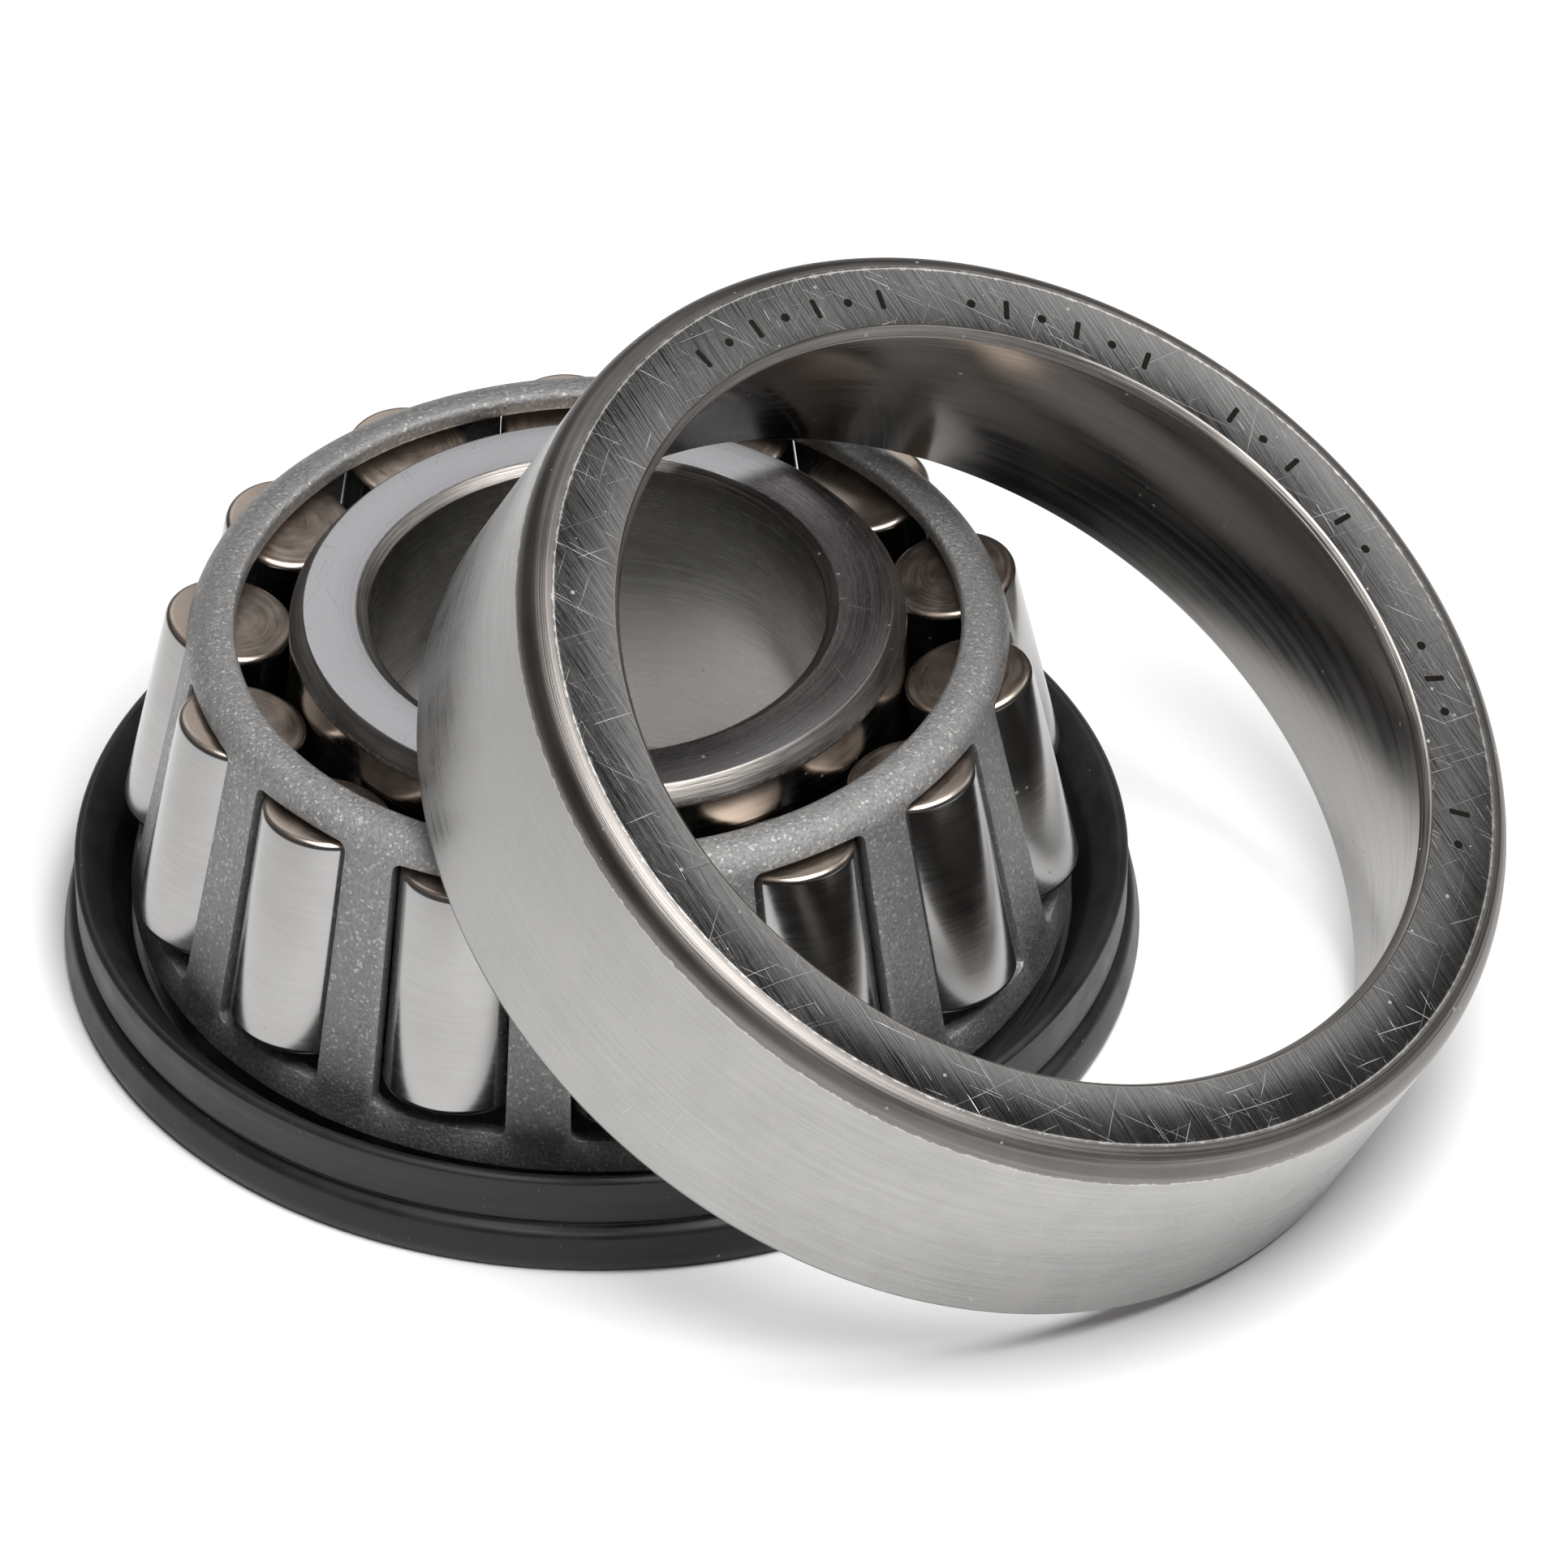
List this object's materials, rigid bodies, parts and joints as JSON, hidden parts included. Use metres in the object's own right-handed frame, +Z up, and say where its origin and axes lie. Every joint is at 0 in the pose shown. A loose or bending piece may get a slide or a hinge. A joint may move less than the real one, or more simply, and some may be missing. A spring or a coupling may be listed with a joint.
{
  "type": "tapered roller bearing",
  "caption": "Tapered roller bearing with a sealed cone, cage and roller assembly standing upright and its separate outer cup leaning on it.",
  "frame": {"origin": "middle of the whole object's footprint, on the floor that the seal and the leaning cup's lowest rim stand on", "axes": "+Z up along the cone's axis towards its small end; +X the long way of the footprint, from the cone assembly towards the cup; +Y away from the cup's near side"},
  "size_m": [0.0678, 0.0622, 0.0355],
  "materials": {
    "ground_steel": "ground faces and raceway, turned bevels",
    "cup_steel": "ground face and outside, dark turned chamfer",
    "polished_steel": "superfinished rollers with bronze-tinted ends",
    "phosphated_sheet": "pressed sheet, dark grainy phosphate",
    "case_steel": "pressed sheet",
    "black_rubber": "moulded, satin"
  },
  "bodies": {
    "cone_assembly": {"cone": "ground_steel", "seal_case": "case_steel", "seal_rubber": "black_rubber"},
    "cage_body": {"cage": "phosphated_sheet"},
    "cup_body": {"cup": "cup_steel"},
    "roller_01_body": {"roller_01": "polished_steel"},
    "roller_02_body": {"roller_02": "polished_steel"},
    "roller_03_body": {"roller_03": "polished_steel"},
    "roller_04_body": {"roller_04": "polished_steel"},
    "roller_05_body": {"roller_05": "polished_steel"},
    "roller_06_body": {"roller_06": "polished_steel"},
    "roller_07_body": {"roller_07": "polished_steel"},
    "roller_08_body": {"roller_08": "polished_steel"},
    "roller_09_body": {"roller_09": "polished_steel"},
    "roller_10_body": {"roller_10": "polished_steel"},
    "roller_11_body": {"roller_11": "polished_steel"},
    "roller_12_body": {"roller_12": "polished_steel"},
    "roller_13_body": {"roller_13": "polished_steel"},
    "roller_14_body": {"roller_14": "polished_steel"}
  },
  "joints": [
    {"name": "cage_spin", "type": "hinge", "parent": "cone_assembly", "child": "cage_body", "pos_m": [-0.00843, 0.00572, 0.0013], "axis": [0, 0, 1], "continuous": true},
    {"name": "cup_spin", "type": "hinge", "parent": "cone_assembly", "child": "cup_body", "pos_m": [0.01144, -0.00738, 0.02399], "axis": [0.4019, -0.265, 0.8765], "continuous": true},
    {"name": "roller_01_spin", "type": "hinge", "parent": "cage_body", "child": "roller_01_body", "pos_m": [-0.02172, -0.00698, 0.01138], "axis": [0.123, 0.1175, 0.9854], "continuous": true},
    {"name": "roller_02_spin", "type": "hinge", "parent": "cage_body", "child": "roller_02_body", "pos_m": [-0.01489, -0.01149, 0.01138], "axis": [0.0598, 0.1592, 0.9854], "continuous": true},
    {"name": "roller_03_spin", "type": "hinge", "parent": "cage_body", "child": "roller_03_body", "pos_m": [-0.00679, -0.01259, 0.01138], "axis": [-0.0152, 0.1694, 0.9854], "continuous": true},
    {"name": "roller_04_spin", "type": "hinge", "parent": "cage_body", "child": "roller_04_body", "pos_m": [0.00099, -0.01006, 0.01138], "axis": [-0.0872, 0.146, 0.9854], "continuous": true},
    {"name": "roller_05_spin", "type": "hinge", "parent": "cage_body", "child": "roller_05_body", "pos_m": [0.00691, -0.00441, 0.01138], "axis": [-0.1419, 0.0937, 0.9854], "continuous": true},
    {"name": "roller_06_spin", "type": "hinge", "parent": "cage_body", "child": "roller_06_body", "pos_m": [0.00978, 0.00325, 0.01138], "axis": [-0.1685, 0.0229, 0.9854], "continuous": true},
    {"name": "roller_07_spin", "type": "hinge", "parent": "cage_body", "child": "roller_07_body", "pos_m": [0.00905, 0.01139, 0.01138], "axis": [-0.1618, -0.0525, 0.9854], "continuous": true},
    {"name": "roller_08_spin", "type": "hinge", "parent": "cage_body", "child": "roller_08_body", "pos_m": [0.00486, 0.01841, 0.01138], "axis": [-0.123, -0.1175, 0.9854], "continuous": true},
    {"name": "roller_09_spin", "type": "hinge", "parent": "cage_body", "child": "roller_09_body", "pos_m": [-0.00197, 0.02292, 0.01138], "axis": [-0.0598, -0.1592, 0.9854], "continuous": true},
    {"name": "roller_10_spin", "type": "hinge", "parent": "cage_body", "child": "roller_10_body", "pos_m": [-0.01007, 0.02402, 0.01138], "axis": [0.0152, -0.1694, 0.9854], "continuous": true},
    {"name": "roller_11_spin", "type": "hinge", "parent": "cage_body", "child": "roller_11_body", "pos_m": [-0.01785, 0.0215, 0.01138], "axis": [0.0872, -0.146, 0.9854], "continuous": true},
    {"name": "roller_12_spin", "type": "hinge", "parent": "cage_body", "child": "roller_12_body", "pos_m": [-0.02377, 0.01585, 0.01138], "axis": [0.1419, -0.0937, 0.9854], "continuous": true},
    {"name": "roller_13_spin", "type": "hinge", "parent": "cage_body", "child": "roller_13_body", "pos_m": [-0.02664, 0.00819, 0.01138], "axis": [0.1685, -0.0229, 0.9854], "continuous": true},
    {"name": "roller_14_spin", "type": "hinge", "parent": "cage_body", "child": "roller_14_body", "pos_m": [-0.02591, 0.00004, 0.01138], "axis": [0.1618, 0.0525, 0.9854], "continuous": true}
  ],
  "couplings": [
    {"joint": "roller_01_spin", "follows": "cage_spin", "ratio": 4.7196},
    {"joint": "roller_02_spin", "follows": "cage_spin", "ratio": 4.7196},
    {"joint": "roller_03_spin", "follows": "cage_spin", "ratio": 4.7196},
    {"joint": "roller_04_spin", "follows": "cage_spin", "ratio": 4.7196},
    {"joint": "roller_05_spin", "follows": "cage_spin", "ratio": 4.7196},
    {"joint": "roller_06_spin", "follows": "cage_spin", "ratio": 4.7196},
    {"joint": "roller_07_spin", "follows": "cage_spin", "ratio": 4.7196},
    {"joint": "roller_08_spin", "follows": "cage_spin", "ratio": 4.7196},
    {"joint": "roller_09_spin", "follows": "cage_spin", "ratio": 4.7196},
    {"joint": "roller_10_spin", "follows": "cage_spin", "ratio": 4.7196},
    {"joint": "roller_11_spin", "follows": "cage_spin", "ratio": 4.7196},
    {"joint": "roller_12_spin", "follows": "cage_spin", "ratio": 4.7196},
    {"joint": "roller_13_spin", "follows": "cage_spin", "ratio": 4.7196},
    {"joint": "roller_14_spin", "follows": "cage_spin", "ratio": 4.7196}
  ]
}
